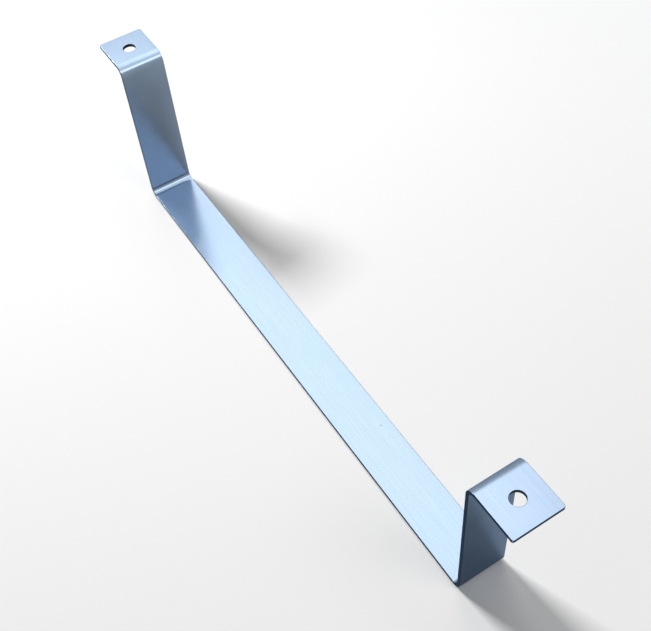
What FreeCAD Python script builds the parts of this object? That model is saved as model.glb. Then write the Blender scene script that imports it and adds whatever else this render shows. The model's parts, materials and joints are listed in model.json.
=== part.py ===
import FreeCAD, Part
import math
import os

import Sketcher

# A water tank bracket: one flat strap folded four times into a wide, shallow cradle.
# The base carries the tank, the two legs rise at its sides, and a flange turned outwards
# at the top of each leg is bolted up under the floor.
# X runs along the strap, Y across it and Z up. The origin lies under the middle of the base,
# on the surface that the bracket stands on.

SIZES = [
    ("strap_width", 40.0, "width of the flat strap"),
    ("strap_thickness", 3.0, "thickness of the flat strap"),
    ("inside_length", 485.0, "clear length between the legs, where the tank sits"),
    ("overall_height", 150.0, "underside of the base to the top of the flanges"),
    ("flange_length", 44.0, "inner face of a leg to the free end of its flange"),
    ("bend_radius", 6.0, "inside radius of the four folds"),
    ("hole_diameter", 11.0, "bolt hole through each flange"),
    ("hole_to_end", 20.0, "centre of a bolt hole to the free end of its flange"),
    ("corner_radius", 1.5, "corners of the flanges, dressed after cutting the strap to length"),
    ("edge_radius", 0.3, "softened edges all round the strap"),
]
SIZE = {name: value for name, value, meaning in SIZES}
TOLERANCE = 1e-4

# The points of a sketch element, and the sketch's own X axis and origin, as the sketcher numbers them.
START, END, CENTRE = 1, 2, 3
SKETCH_X_AXIS = -1
ORIGIN = (SKETCH_X_AXIS, START)


def add_sheet(doc):
    """The sheet of driving dimensions, which every feature is bound to."""
    sheet = doc.addObject("Spreadsheet::Sheet", "Sizes")
    for row, (name, value, meaning) in enumerate(SIZES, 1):
        sheet.set(f"A{row}", meaning)
        sheet.set(f"B{row}", str(value))
        sheet.setAlias(f"B{row}", name)
    doc.recompute()
    return sheet


def origin_plane(body, role):
    return next(item for item in body.Origin.OriginFeatures if item.Role == role)


def add_sketch(body, name, role):
    sketch = body.newObject("Sketcher::SketchObject", name)
    sketch.AttachmentSupport = (origin_plane(body, role), [""])
    sketch.MapMode = "FlatFace"
    return sketch


def bind(sketch, constraint, formula):
    """Adds a dimension to the sketch and ties it to the sheet."""
    index = sketch.addConstraint(constraint)
    sketch.setExpression(f"Constraints[{index}]", formula)


def draw_half_profile(sketch):
    """Edge view of the right half of the folded strap, from the middle of the base to the flange."""
    thickness = SIZE["strap_thickness"]
    inner_radius = SIZE["bend_radius"]
    outer_radius = inner_radius + thickness
    leg_inside = SIZE["inside_length"] / 2
    leg_outside = leg_inside + thickness
    flange_end = leg_inside + SIZE["flange_length"]
    flange_top = SIZE["overall_height"]
    flange_underside = flange_top - thickness

    def point(x, z):
        return FreeCAD.Vector(x, z, 0)

    def line(start, end):
        return sketch.addGeometry(Part.LineSegment(start, end))

    def arc(centre, radius, first, last):
        circle = Part.Circle(centre, FreeCAD.Vector(0, 0, 1), radius)
        return sketch.addGeometry(Part.ArcOfCircle(circle, math.radians(first), math.radians(last)))

    low_centre = point(leg_inside - inner_radius, outer_radius)
    high_centre = point(leg_outside + inner_radius, flange_top - outer_radius)
    base_bottom = line(point(0, 0), point(low_centre.x, 0))
    low_bend_outside = arc(low_centre, outer_radius, 270, 360)
    leg_outer_face = line(point(leg_outside, low_centre.y), point(leg_outside, high_centre.y))
    high_bend_inside = arc(high_centre, inner_radius, 90, 180)
    flange_bottom = line(point(high_centre.x, flange_underside), point(flange_end, flange_underside))
    free_end = line(point(flange_end, flange_underside), point(flange_end, flange_top))
    flange_face = line(point(flange_end, flange_top), point(high_centre.x, flange_top))
    high_bend_outside = arc(high_centre, outer_radius, 90, 180)
    leg_inner_face = line(point(leg_inside, high_centre.y), point(leg_inside, low_centre.y))
    low_bend_inside = arc(low_centre, inner_radius, 270, 360)
    base_top = line(point(low_centre.x, thickness), point(0, thickness))
    middle = line(point(0, thickness), point(0, 0))

    # Where a flat runs into a bend, the two meet and are tangent.
    for flat, flat_point, bend, bend_point in [
        (base_bottom, END, low_bend_outside, START),
        (leg_outer_face, START, low_bend_outside, END),
        (leg_outer_face, END, high_bend_inside, END),
        (flange_bottom, START, high_bend_inside, START),
        (flange_face, END, high_bend_outside, START),
        (leg_inner_face, START, high_bend_outside, END),
        (leg_inner_face, END, low_bend_inside, END),
        (base_top, START, low_bend_inside, START),
    ]:
        sketch.addConstraint(Sketcher.Constraint("Tangent", flat, flat_point, bend, bend_point))
    # Square corners, and the two faces of each bend about one centre.
    for first, first_point, second, second_point in [
        (flange_bottom, END, free_end, START),
        (free_end, END, flange_face, START),
        (base_top, END, middle, START),
        (middle, END, base_bottom, START),
        (low_bend_inside, CENTRE, low_bend_outside, CENTRE),
        (high_bend_inside, CENTRE, high_bend_outside, CENTRE),
        (base_bottom, START, *ORIGIN),
    ]:
        sketch.addConstraint(Sketcher.Constraint("Coincident", first, first_point, second, second_point))
    for level in (base_bottom, base_top, flange_bottom, flange_face):
        sketch.addConstraint(Sketcher.Constraint("Horizontal", level))
    for upright in (leg_outer_face, leg_inner_face, free_end, middle):
        sketch.addConstraint(Sketcher.Constraint("Vertical", upright))

    bind(sketch, Sketcher.Constraint("DistanceY", base_bottom, START, base_top, END, thickness),
         "Sizes.strap_thickness")
    bind(sketch, Sketcher.Constraint("DistanceX", *ORIGIN, leg_inner_face, END, leg_inside),
         "Sizes.inside_length / 2")
    bind(sketch, Sketcher.Constraint("DistanceY", *ORIGIN, flange_face, START, flange_top),
         "Sizes.overall_height")
    bind(sketch, Sketcher.Constraint("DistanceX", leg_inner_face, START, flange_face, START,
                                     flange_end - leg_inside), "Sizes.flange_length")
    bind(sketch, Sketcher.Constraint("Radius", low_bend_inside, inner_radius), "Sizes.bend_radius")
    bind(sketch, Sketcher.Constraint("Radius", high_bend_inside, inner_radius), "Sizes.bend_radius")


def draw_bolt_hole(sketch):
    """The hole on the strap's centre line, seen from above, at its distance from the free end."""
    hole_x = SIZE["inside_length"] / 2 + SIZE["flange_length"] - SIZE["hole_to_end"]
    up = FreeCAD.Vector(0, 0, 1)
    circle = Part.Circle(FreeCAD.Vector(hole_x, 0, 0), up, SIZE["hole_diameter"] / 2)
    hole = sketch.addGeometry(circle)
    sketch.addConstraint(Sketcher.Constraint("PointOnObject", hole, CENTRE, SKETCH_X_AXIS))
    bind(sketch, Sketcher.Constraint("DistanceX", *ORIGIN, hole, CENTRE, hole_x),
         "Sizes.inside_length / 2 + Sizes.flange_length - Sizes.hole_to_end")
    bind(sketch, Sketcher.Constraint("Diameter", hole, SIZE["hole_diameter"]), "Sizes.hole_diameter")


def edges_where(feature, wanted):
    return [f"Edge{number}" for number, edge in enumerate(feature.Shape.Edges, 1) if wanted(edge)]


def is_free_end_corner(edge):
    """A short upright edge at a corner of a flange's free end."""
    box = edge.BoundBox
    half_length = SIZE["inside_length"] / 2 + SIZE["flange_length"]
    at_end = abs(abs(box.Center.x) - half_length) < TOLERANCE
    return at_end and box.XLength < TOLERANCE and box.YLength < TOLERANCE


def is_rim(edge):
    """An edge that runs along the strap's side, round a dressed corner or across a free end."""
    box = edge.BoundBox
    on_side = abs(abs(box.Center.y) - SIZE["strap_width"] / 2) < TOLERANCE and box.YLength < TOLERANCE
    corner_start = SIZE["inside_length"] / 2 + SIZE["flange_length"] - SIZE["corner_radius"]
    at_end = abs(box.Center.x) > corner_start and box.ZLength < TOLERANCE
    across_side = on_side and box.XLength < TOLERANCE and box.ZLength <= SIZE["strap_thickness"] + TOLERANCE
    return (on_side and not across_side) or at_end


def add_fillet(doc, body, name, base, wanted, radius_formula):
    fillet = body.newObject("PartDesign::Fillet", name)
    fillet.Base = (base, edges_where(base, wanted))
    fillet.setExpression("Radius", radius_formula)
    doc.recompute()
    return fillet


def add_strap(doc):
    """The bracket: half the folded strap and its bolt hole, mirrored about the middle of the base."""
    body = doc.addObject("PartDesign::Body", "bracket_strap")
    body.Label = "bracket_strap"

    profile = add_sketch(body, "HalfProfile", "XZ_Plane")
    draw_half_profile(profile)
    half_strap = body.newObject("PartDesign::Pad", "HalfStrap")
    half_strap.Profile = profile
    half_strap.SideType = "Symmetric"
    half_strap.setExpression("Length", "Sizes.strap_width")
    doc.recompute()
    uncut_volume = half_strap.Shape.Volume

    hole_plan = add_sketch(body, "BoltHolePlan", "XY_Plane")
    hole_plan.setExpression("AttachmentOffset.Base.z", "Sizes.overall_height")
    draw_bolt_hole(hole_plan)
    doc.recompute()
    bolt_hole = body.newObject("PartDesign::Pocket", "BoltHole")
    bolt_hole.Profile = hole_plan
    bolt_hole.Type = "Length"
    bolt_hole.setExpression("Length", "Sizes.strap_thickness")
    doc.recompute()
    removed = uncut_volume - bolt_hole.Shape.Volume
    hole_volume = math.pi / 4 * SIZE["hole_diameter"] ** 2 * SIZE["strap_thickness"]
    if abs(removed - hole_volume) > hole_volume / 1000:
        raise RuntimeError(f"the bolt hole removed {removed:.1f} mm3 and not {hole_volume:.1f} mm3")

    whole_strap = body.newObject("PartDesign::Mirrored", "WholeStrap")
    whole_strap.Originals = [half_strap, bolt_hole]
    whole_strap.MirrorPlane = (origin_plane(body, "YZ_Plane"), [""])
    whole_strap.Refine = True
    body.Tip = whole_strap
    doc.recompute()

    corners = add_fillet(doc, body, "DressedCorners", whole_strap, is_free_end_corner,
                         "Sizes.corner_radius")
    add_fillet(doc, body, "SoftenedEdges", corners, is_rim, "Sizes.edge_radius")
    return body


def check(doc, bodies):
    """Stops before anything is written if a feature failed or a shape is not sound."""
    for item in doc.Objects:
        if "Invalid" in item.State or "Error" in item.State:
            raise RuntimeError(f"{item.Label} failed: {item.State}")
    for body in bodies:
        shape = body.Shape
        if shape.isNull() or not shape.isValid() or len(shape.Solids) != 1:
            raise RuntimeError(f"{body.Label} is not one sound solid")
        print(body.Label, "volume", round(shape.Volume, 1), "mm3", "box", shape.BoundBox)


def main():
    os.makedirs("parts", exist_ok=True)
    doc = FreeCAD.newDocument("WaterTankBracket")
    add_sheet(doc)
    bodies = [add_strap(doc)]
    doc.recompute()
    check(doc, bodies)
    for body in bodies:
        body.Shape.exportStep(os.path.join("parts", body.Label + ".step"))


main()
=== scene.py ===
import json
import math

import bmesh
import bpy
from mathutils import Matrix, Vector


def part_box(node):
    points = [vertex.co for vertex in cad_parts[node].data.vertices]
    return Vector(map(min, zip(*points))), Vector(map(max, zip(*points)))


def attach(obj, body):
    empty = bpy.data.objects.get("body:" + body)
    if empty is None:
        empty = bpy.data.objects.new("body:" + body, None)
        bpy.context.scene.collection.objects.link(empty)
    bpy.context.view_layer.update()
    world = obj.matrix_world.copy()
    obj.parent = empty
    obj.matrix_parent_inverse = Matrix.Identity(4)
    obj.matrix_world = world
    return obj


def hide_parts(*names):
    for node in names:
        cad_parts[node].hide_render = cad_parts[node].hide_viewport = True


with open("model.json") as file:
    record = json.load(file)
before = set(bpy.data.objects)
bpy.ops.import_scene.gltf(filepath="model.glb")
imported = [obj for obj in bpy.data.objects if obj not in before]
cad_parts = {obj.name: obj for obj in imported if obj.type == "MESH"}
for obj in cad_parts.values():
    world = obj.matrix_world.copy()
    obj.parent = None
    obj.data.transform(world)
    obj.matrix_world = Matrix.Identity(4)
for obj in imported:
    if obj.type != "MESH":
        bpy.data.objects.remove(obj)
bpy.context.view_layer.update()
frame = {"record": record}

# A water tank bracket: one flat strap of zinc plated steel, folded into a cradle.
# Everything is in metres, in the frame of the CAD part: X along the strap, Y across it, Z up.

MM = 0.001

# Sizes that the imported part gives.
STRAP_NODE = "bracket_strap"
STRAP_LOW, STRAP_HIGH = (Vector(corner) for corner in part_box(STRAP_NODE))
MOUNTS = {mount["name"]: mount for mount in frame["record"]["mounts"]}
STRAP_WIDTH = STRAP_HIGH.y - STRAP_LOW.y
STRAP_LENGTH = STRAP_HIGH.x - STRAP_LOW.x
HEIGHT = STRAP_HIGH.z
THICKNESS = MOUNTS["tank_seat"]["pos_m"][2]
LEG_INSIDE = MOUNTS["leg_face_right"]["pos_m"][0]
HOLE_RADIUS = MOUNTS["flange_bolts"]["dims"]["hole_r_mm"] * MM
HOLE_X = MOUNTS["flange_bolts"]["dims"]["spacing_x_mm"] / 2 * MM

# The folds, corners and edges have the radii of the part's source.
BEND_INSIDE = 6.0 * MM
BEND_OUTSIDE = BEND_INSIDE + THICKNESS
BEND_STEPS = 16
CORNER_RADIUS = 1.5 * MM
CORNER_STEPS = 6
EDGE_SOFTENING = 0.3 * MM
EDGE_STEPS = 3
EDGE_ANGLE = math.radians(40)
HOLE_SEGMENTS = 64
PUNCH_LENGTH = 4 * THICKNESS
WELD = 0.01 * MM

# The zinc plate's colours, and the painted shade on its cut edges.
DULL_ZINC = (0.198, 0.260, 0.341)
BRIGHT_ZINC = (0.216, 0.282, 0.363)
VIOLET_ZINC = (0.217, 0.267, 0.363)
# Painted shade: the cut edges are coloured near-black for the dark they show in shade, not for the bare
# steel's own colour.
EDGE_PAINTED_SHADE = (0.030, 0.037, 0.052)
GRAZING_TINT = (0.42, 0.47, 0.56)
PIT_COLOUR = (0.10, 0.12, 0.15)

# Clouds, wash and grain: how fine each noise is, the span of it that counts and how far it tints.
CLOUD_SCALE = 45.0
CLOUD_SPAN = (0.35, 0.65)
WASH_SCALE = 12.0
WASH_SPAN = (0.4, 0.7)
WASH_SHARE = 0.35
GRAIN_LENGTHWISE = 14.0
GRAIN_ACROSS = 700.0
GRAIN_SPAN = (0.45, 0.75)
GRAIN_SHARE = 0.25

# The pits, and the one nick in the top of the base.
PIT_SCALE = 40.0
PIT_SIZE = 0.028
PIT_RARITY = 0.62
NICK_PLACE = (0.1016, 0.0114, 0.003)
NICK_RADIUS = 1.0 * MM
NICK_SHARE = 0.5

# The shine: a middle roughness and what each figure adds to it or takes off.
PLATE_ROUGHNESS = 0.24
FIGURE_SPAN = (0.3, 0.7)
CLOUD_ROUGHNESS = 0.02
GRAIN_ROUGHNESS = 0.015
MARK_ROUGHNESS = 0.15
RELIEF = 0.005 * MM
GRAIN_RELIEF = 0.5

# The floor is matt and pale near the bracket and fades into the room between two distances.
FLOOR_COLOUR = (0.87, 0.88, 0.89)
FLOOR_PATCH_COLOUR = (0.88, 0.89, 0.90)
FLOOR_PATCH_SCALE = 1.5
FLOOR_ROUGHNESS = 0.9
FLOOR_HALF_WIDTH = 6
FADE_START = 0.3
FADE_END = 0.75

# The room is nearly white where it is seen or mirrored, and faint as a light.
ROOM_COLOUR = (0.98, 0.99, 1.0)
ROOM_SEEN = 0.95
ROOM_LIGHT = 0.07

# Each lamp's name, place, the point that it faces, width, height and power in watts.
LAMP_COLOUR = (1.0, 0.985, 0.97)
LAMPS = [
    ("ceiling_panel", (-1.27, 0.52, 1.65), (-1.27, 0.52, 0), 2.3, 0.5, 10.5),
    ("dim_panel", (0.33, 0.52, 1.65), (0.33, 0.52, 0), 0.9, 0.5, 2),
    ("left_window", (-2.4, -0.55, 1.9), (0, 0, 0), 0.8, 0.5, 104),
    ("right_window", (0.91, 0.38, 1.19), (-0.24, 0, 0.03), 0.6, 0.6, 4),
]

# The camera looks down on the right end of the strap from its near side.
CAMERA_PLACE = Vector((0.466, -0.221, 0.696))
CAMERA_FORWARD = Vector((-0.548, 0.290, -0.785))
CAMERA_RIGHT = Vector((0.536, 0.842, -0.063))
CAMERA_LENS = 56.4


def new_object(name, bm, material=None):
    mesh = bpy.data.meshes.new(name)
    bm.to_mesh(mesh)
    bm.free()
    obj = bpy.data.objects.new(name, mesh)
    bpy.context.scene.collection.objects.link(obj)
    if material:
        mesh.materials.append(material)
    return obj


def push(bm, end_face, run):
    """Draws the strap's end face out by a straight run and returns the new end face."""
    grown = bmesh.ops.extrude_face_region(bm, geom=[end_face])["geom"]
    bmesh.ops.delete(bm, geom=[end_face], context="FACES_ONLY")
    bmesh.ops.translate(bm, verts=[v for v in grown if isinstance(v, bmesh.types.BMVert)], vec=run)
    return next(f for f in grown if isinstance(f, bmesh.types.BMFace))


def fold(bm, end_face, centre, angle):
    """Turns the strap's end face about a fold line that runs across the strap."""
    turned = bmesh.ops.spin(bm, geom=[end_face], cent=centre, axis=(0, 1, 0), angle=angle,
                            steps=BEND_STEPS, use_duplicate=False)["geom_last"]
    bmesh.ops.delete(bm, geom=[end_face], context="FACES_ONLY")
    return next(f for f in turned if isinstance(f, bmesh.types.BMFace))


def make_strap(material):
    """Folds the strap from the free end of the left flange to that of the right one."""
    bm = bmesh.new()
    bmesh.ops.create_grid(bm, x_segments=1, y_segments=1, size=0.5)
    bmesh.ops.scale(bm, vec=(THICKNESS, STRAP_WIDTH, 1), verts=bm.verts)
    bmesh.ops.rotate(bm, verts=bm.verts, matrix=Matrix.Rotation(math.radians(90), 3, "Y"))
    bmesh.ops.translate(bm, verts=bm.verts, vec=(STRAP_LOW.x, 0, HEIGHT - THICKNESS / 2))
    start = bm.faces[:][0]
    left_end = bmesh.ops.duplicate(bm, geom=[start])["geom"]
    bmesh.ops.reverse_faces(bm, faces=[f for f in left_end if isinstance(f, bmesh.types.BMFace)])

    flange_run = STRAP_LENGTH / 2 - LEG_INSIDE - BEND_OUTSIDE
    leg_run = HEIGHT - 2 * BEND_OUTSIDE
    base_run = 2 * (LEG_INSIDE - BEND_INSIDE)
    quarter = math.radians(90)
    leg_outside = LEG_INSIDE + THICKNESS
    high = HEIGHT - BEND_OUTSIDE
    low = BEND_OUTSIDE
    end = push(bm, start, (flange_run, 0, 0))
    end = fold(bm, end, (-leg_outside - BEND_INSIDE, 0, high), quarter)
    end = push(bm, end, (0, 0, -leg_run))
    end = fold(bm, end, (-LEG_INSIDE + BEND_INSIDE, 0, low), -quarter)
    end = push(bm, end, (base_run, 0, 0))
    end = fold(bm, end, (LEG_INSIDE - BEND_INSIDE, 0, low), -quarter)
    end = push(bm, end, (0, 0, leg_run))
    end = fold(bm, end, (leg_outside + BEND_INSIDE, 0, high), quarter)
    push(bm, end, (flange_run, 0, 0))
    bmesh.ops.remove_doubles(bm, verts=bm.verts, dist=WELD)
    bmesh.ops.recalc_face_normals(bm, faces=bm.faces)
    dress_corners(bm)

    strap = new_object("folded_strap", bm, material)
    punch_holes(strap)
    soften_edges(strap)
    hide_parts(STRAP_NODE)
    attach(strap, "root")


def dress_corners(bm):
    """Rounds the four corners of the strap's free ends."""
    def at_free_end(vert):
        return abs(abs(vert.co.x) - STRAP_LENGTH / 2) < WELD

    corners = [e for e in bm.edges if at_free_end(e.verts[0]) and at_free_end(e.verts[1])
               and abs(e.verts[0].co.y - e.verts[1].co.y) < WELD]
    bmesh.ops.bevel(bm, geom=corners, offset=CORNER_RADIUS, affect="EDGES", segments=CORNER_STEPS,
                    profile=0.5, material=-1)


def soften_edges(strap):
    """Takes the sharpness off every edge and keeps the faces flat to the light."""
    soften = strap.modifiers.new("softened_edges", "BEVEL")
    soften.width = EDGE_SOFTENING
    soften.segments = EDGE_STEPS
    soften.limit_method = "ANGLE"
    soften.angle_limit = EDGE_ANGLE
    soften.use_clamp_overlap = True
    flats = strap.modifiers.new("flat_faces", "WEIGHTED_NORMAL")
    flats.keep_sharp = True
    for polygon in strap.data.polygons:
        polygon.use_smooth = True


def punch_holes(strap):
    """Punches the bolt hole through each flange."""
    bm = bmesh.new()
    for side in (-1, 1):
        place = Matrix.Translation((side * HOLE_X, 0, HEIGHT - THICKNESS / 2))
        bmesh.ops.create_cone(bm, cap_ends=True, segments=HOLE_SEGMENTS, radius1=HOLE_RADIUS,
                              radius2=HOLE_RADIUS, depth=PUNCH_LENGTH, matrix=place)
    punch = new_object("punch", bm)
    cut = strap.modifiers.new("bolt_holes", "BOOLEAN")
    cut.object = punch
    cut.operation = "DIFFERENCE"
    cut.solver = "EXACT"
    depsgraph = bpy.context.evaluated_depsgraph_get()
    pierced = bpy.data.meshes.new_from_object(strap.evaluated_get(depsgraph))
    strap.modifiers.remove(cut)
    strap.data = pierced
    bpy.data.objects.remove(punch)


def shader(name):
    material = bpy.data.materials.new(name)
    material.use_nodes = True
    nodes = material.node_tree.nodes
    return material, nodes, material.node_tree.links, nodes["Principled BSDF"]


def noise(nodes, links, place, scale, detail):
    texture = nodes.new("ShaderNodeTexNoise")
    texture.inputs["Scale"].default_value = scale
    texture.inputs["Detail"].default_value = detail
    links.new(place, texture.inputs["Vector"])
    return texture.outputs["Fac"]


def spread(nodes, links, value, low, high, out_low, out_high):
    """Takes a value's span from low to high and maps it to another span."""
    ramp = nodes.new("ShaderNodeMapRange")
    links.new(value, ramp.inputs["Value"])
    ramp.inputs["From Min"].default_value = low
    ramp.inputs["From Max"].default_value = high
    ramp.inputs["To Min"].default_value = out_low
    ramp.inputs["To Max"].default_value = out_high
    return ramp.outputs["Result"]


def figure(nodes, links, operation, first, second):
    """Sum, product and the like of two values, either of which may be a plain number."""
    math_node = nodes.new("ShaderNodeMath")
    math_node.operation = operation
    for socket, value in zip(math_node.inputs, (first, second)):
        if isinstance(value, float):
            socket.default_value = value
        else:
            links.new(value, socket)
    return math_node.outputs["Value"]


def tint(nodes, links, share, colour, other):
    """Goes from a colour, or an earlier tint, to another colour as the share goes from 0 to 1."""
    mix = nodes.new("ShaderNodeMix")
    mix.data_type = "RGBA"
    under, over = (socket for socket in mix.inputs if socket.type == "RGBA")
    links.new(share, mix.inputs["Factor"])
    if isinstance(colour, tuple):
        under.default_value = (*colour, 1)
    else:
        links.new(colour, under)
    over.default_value = (*other, 1)
    return next(socket for socket in mix.outputs if socket.type == "RGBA")


def plate_figure(nodes, links, place):
    """Small clouds, a broad wash, and a grain drawn out along the strap."""
    stretch = nodes.new("ShaderNodeMapping")
    stretch.inputs["Scale"].default_value = (GRAIN_LENGTHWISE, GRAIN_ACROSS, GRAIN_LENGTHWISE)
    links.new(place, stretch.inputs["Vector"])
    clouds = noise(nodes, links, place, CLOUD_SCALE, 4)
    wash = noise(nodes, links, place, WASH_SCALE, 2)
    grain = noise(nodes, links, stretch.outputs["Vector"], 1, 3)
    return clouds, wash, grain


def pits_and_nick(nodes, links, place):
    """The share of bare pit: in a few small pits and in the one nick."""
    pits = nodes.new("ShaderNodeTexVoronoi")
    pits.inputs["Scale"].default_value = PIT_SCALE
    links.new(place, pits.inputs["Vector"])
    pit = spread(nodes, links, pits.outputs["Distance"], PIT_SIZE, PIT_SIZE / 2, 0, 1)
    chosen = figure(nodes, links, "GREATER_THAN", pits.outputs["Color"], PIT_RARITY)
    pitted = figure(nodes, links, "MULTIPLY", pit, chosen)
    from_nick = nodes.new("ShaderNodeVectorMath")
    from_nick.operation = "DISTANCE"
    from_nick.inputs[1].default_value = NICK_PLACE
    links.new(place, from_nick.inputs[0])
    nick = spread(nodes, links, from_nick.outputs["Value"], NICK_RADIUS, NICK_RADIUS / 2, 0, NICK_SHARE)
    return figure(nodes, links, "MAXIMUM", pitted, nick)


def painted_edge_shade_share(nodes, links, place):
    """The share of painted shade on the cut edges: all of it on the sides, the free ends and the walls of the
    holes.
    """
    axes = nodes.new("ShaderNodeSeparateXYZ")
    links.new(place, axes.inputs["Vector"])
    across = figure(nodes, links, "ABSOLUTE", axes.outputs["Y"], 0.0)
    along = figure(nodes, links, "ABSOLUTE", axes.outputs["X"], 0.0)
    to_side = figure(nodes, links, "SUBTRACT", STRAP_WIDTH / 2, across)
    to_end = figure(nodes, links, "SUBTRACT", STRAP_LENGTH / 2, along)
    from_hole_x = figure(nodes, links, "POWER", figure(nodes, links, "SUBTRACT", along, HOLE_X), 2.0)
    from_hole_y = figure(nodes, links, "POWER", across, 2.0)
    from_hole = figure(nodes, links, "SQRT", figure(nodes, links, "ADD", from_hole_x, from_hole_y), 0.0)
    to_hole = figure(nodes, links, "SUBTRACT", from_hole, HOLE_RADIUS)
    to_rim = figure(nodes, links, "MINIMUM", figure(nodes, links, "MINIMUM", to_side, to_end), to_hole)
    return spread(nodes, links, to_rim, EDGE_SOFTENING / 2, EDGE_SOFTENING, 1, 0)


def zinc_plated_steel():
    """Bluish zinc plate on rolled flat bar: cloudy, grained along the strap, with painted shade that darkens
    the cut edges.
    """
    material, nodes, links, surface = shader("zinc_plated_steel")
    place = nodes.new("ShaderNodeTexCoord").outputs["Object"]
    clouds, wash, grain = plate_figure(nodes, links, place)
    marks = pits_and_nick(nodes, links, place)

    colour = tint(nodes, links, spread(nodes, links, clouds, *CLOUD_SPAN, 0, 1), DULL_ZINC, BRIGHT_ZINC)
    colour = tint(nodes, links, spread(nodes, links, wash, *WASH_SPAN, 0, WASH_SHARE), colour, VIOLET_ZINC)
    colour = tint(nodes, links, spread(nodes, links, grain, *GRAIN_SPAN, 0, GRAIN_SHARE), colour, DULL_ZINC)
    colour = tint(nodes, links, marks, colour, PIT_COLOUR)
    # Painted shade: the sides, free ends and hole walls go near-black.
    colour = tint(nodes, links, painted_edge_shade_share(nodes, links, place), colour, EDGE_PAINTED_SHADE)
    links.new(colour, surface.inputs["Base Color"])

    roughness = spread(nodes, links, clouds, *FIGURE_SPAN,
                       PLATE_ROUGHNESS - CLOUD_ROUGHNESS, PLATE_ROUGHNESS + CLOUD_ROUGHNESS)
    for added in (spread(nodes, links, grain, *FIGURE_SPAN, -GRAIN_ROUGHNESS, GRAIN_ROUGHNESS),
                  figure(nodes, links, "MULTIPLY", marks, MARK_ROUGHNESS)):
        roughness = figure(nodes, links, "ADD", roughness, added)
    links.new(roughness, surface.inputs["Roughness"])

    height = figure(nodes, links, "MULTIPLY", grain, GRAIN_RELIEF)
    height = figure(nodes, links, "SUBTRACT", height, marks)
    height = figure(nodes, links, "ADD", height, clouds)
    bump = nodes.new("ShaderNodeBump")
    bump.inputs["Strength"].default_value = 1
    bump.inputs["Distance"].default_value = RELIEF
    links.new(height, bump.inputs["Height"])
    links.new(bump.outputs["Normal"], surface.inputs["Normal"])
    surface.inputs["Metallic"].default_value = 1
    surface.inputs["Specular Tint"].default_value = (*GRAZING_TINT, 1)
    return material


def room_strength(nodes, links):
    """How bright the pale room is: almost white where it is seen or mirrored, faint as a light."""
    path = nodes.new("ShaderNodeLightPath")
    seen = figure(nodes, links, "MAXIMUM", path.outputs["Is Camera Ray"], path.outputs["Is Glossy Ray"])
    seen = figure(nodes, links, "MAXIMUM", seen, path.outputs["Is Transmission Ray"])
    return spread(nodes, links, seen, 0, 1, ROOM_LIGHT, ROOM_SEEN)


def pale_floor():
    """A matt pale floor with the faintest patches, which fades into the pale room far off."""
    material, nodes, links, surface = shader("pale_floor")
    place = nodes.new("ShaderNodeTexCoord").outputs["Object"]
    patches = spread(nodes, links, noise(nodes, links, place, FLOOR_PATCH_SCALE, 2), *FIGURE_SPAN, 0, 1)
    links.new(tint(nodes, links, patches, FLOOR_COLOUR, FLOOR_PATCH_COLOUR), surface.inputs["Base Color"])
    surface.inputs["Roughness"].default_value = FLOOR_ROUGHNESS
    surface.inputs["Specular IOR Level"].default_value = 0

    distance = nodes.new("ShaderNodeVectorMath")
    distance.operation = "LENGTH"
    links.new(place, distance.inputs[0])
    room = nodes.new("ShaderNodeEmission")
    room.inputs["Color"].default_value = (*ROOM_COLOUR, 1)
    links.new(room_strength(nodes, links), room.inputs["Strength"])
    fade = nodes.new("ShaderNodeMixShader")
    links.new(spread(nodes, links, distance.outputs["Value"], FADE_START, FADE_END, 0, 1), fade.inputs["Fac"])
    links.new(surface.outputs["BSDF"], fade.inputs[1])
    links.new(room.outputs["Emission"], fade.inputs[2])
    links.new(fade.outputs["Shader"], nodes["Material Output"].inputs["Surface"])
    return material


def make_floor(material):
    bm = bmesh.new()
    bmesh.ops.create_grid(bm, x_segments=1, y_segments=1, size=FLOOR_HALF_WIDTH)
    floor = new_object("floor", bm, material)


def softbox(name, place, target, width, height, power):
    """A soft rectangular lamp that faces a point."""
    light = bpy.data.lights.new(name, "AREA")
    light.shape = "RECTANGLE"
    light.size = width
    light.size_y = height
    light.energy = power
    light.color = LAMP_COLOUR
    lamp = bpy.data.objects.new(name, light)
    bpy.context.scene.collection.objects.link(lamp)
    lamp.location = place
    aim = Vector(target) - Vector(place)
    lamp.rotation_euler = aim.to_track_quat("-Z", "Y").to_euler()


def make_camera():
    data = bpy.data.cameras.new("camera")
    data.lens = CAMERA_LENS
    camera = bpy.data.objects.new("camera", data)
    bpy.context.scene.collection.objects.link(camera)
    back = -CAMERA_FORWARD.normalized()
    right = (CAMERA_RIGHT - CAMERA_RIGHT.project(back)).normalized()
    up = back.cross(right)
    camera.matrix_world = Matrix.Translation(CAMERA_PLACE) @ Matrix((right, up, back)).transposed().to_4x4()
    bpy.context.scene.camera = camera


def pale_surround():
    """A pale room for the camera and for reflections, which lights the floor only a little."""
    world = bpy.data.worlds.new("studio")
    bpy.context.scene.world = world
    world.use_nodes = True
    nodes = world.node_tree.nodes
    background = nodes["Background"]
    background.inputs["Color"].default_value = (*ROOM_COLOUR, 1)
    world.node_tree.links.new(room_strength(nodes, world.node_tree.links), background.inputs["Strength"])


def light_the_scene():
    """Long and dim panels overhead, which the base and flanges mirror, and a lamp from either side."""
    pale_surround()
    for lamp in LAMPS:
        softbox(*lamp)


make_strap(zinc_plated_steel())
make_floor(pale_floor())
light_the_scene()
make_camera()
bpy.context.scene.view_settings.view_transform = "Standard"
